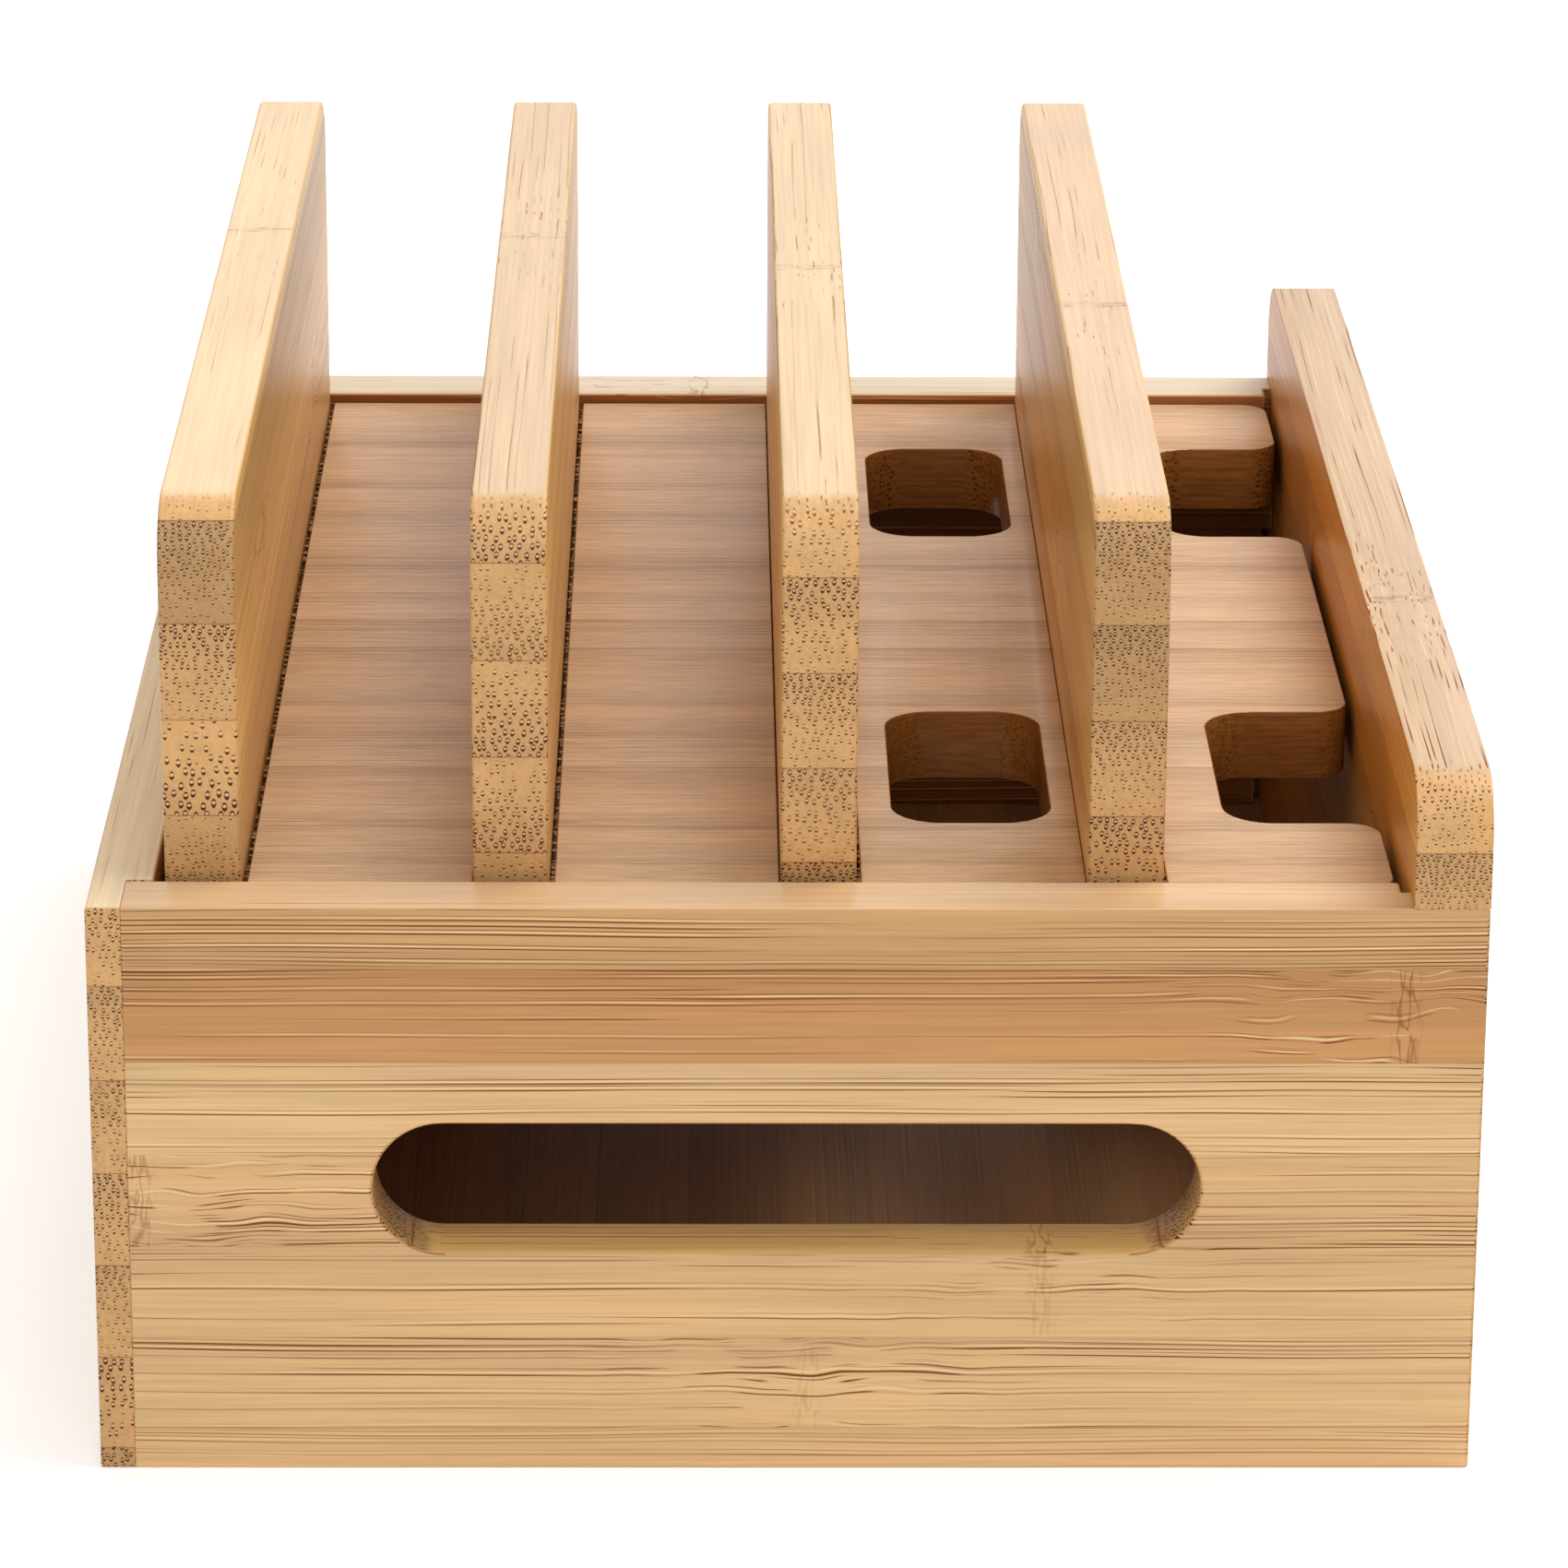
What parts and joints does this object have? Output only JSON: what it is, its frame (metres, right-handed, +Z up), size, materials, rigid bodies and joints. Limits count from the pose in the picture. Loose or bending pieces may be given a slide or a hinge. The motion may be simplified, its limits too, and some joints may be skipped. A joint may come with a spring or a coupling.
{
  "type": "charging station organizer",
  "caption": "Low open-slotted bamboo box with a lift-out cable deck, pull-out upright dividers and a raised front plate, for standing devices while they charge.",
  "frame": {"origin": "centre of the footprint, on the surface that the box stands on", "axes": "+X from the rear wall to the front plate, +Y along the dividers, +Z up"},
  "size_m": [0.165, 0.226, 0.1178],
  "materials": {
    "bamboo": "laminated bamboo, sanded and clear-oiled"
  },
  "bodies": {
    "box": {"near_end_panel": "bamboo", "far_end_panel": "bamboo", "rear_wall": "bamboo", "front_plate": "bamboo", "floor_panel": "bamboo", "near_ledger": "bamboo", "far_ledger": "bamboo"},
    "deck_board": {"deck": "bamboo"},
    "divider_board_1": {"divider_1": "bamboo"},
    "divider_board_2": {"divider_2": "bamboo"},
    "divider_board_3": {"divider_3": "bamboo"},
    "divider_board_4": {"divider_4": "bamboo"}
  },
  "joints": [
    {"name": "deck_lift", "type": "slide", "parent": "box", "child": "deck_board", "axis": [0, 0, 1], "range_m": [0, 0.04]},
    {"name": "divider_1_lift", "type": "slide", "parent": "deck_board", "child": "divider_board_1", "axis": [0, 0, 1], "range_m": [0, 0.06]},
    {"name": "divider_2_lift", "type": "slide", "parent": "deck_board", "child": "divider_board_2", "axis": [0, 0, 1], "range_m": [0, 0.06]},
    {"name": "divider_3_lift", "type": "slide", "parent": "deck_board", "child": "divider_board_3", "axis": [0, 0, 1], "range_m": [0, 0.06]},
    {"name": "divider_4_lift", "type": "slide", "parent": "deck_board", "child": "divider_board_4", "axis": [0, 0, 1], "range_m": [0, 0.06]}
  ]
}
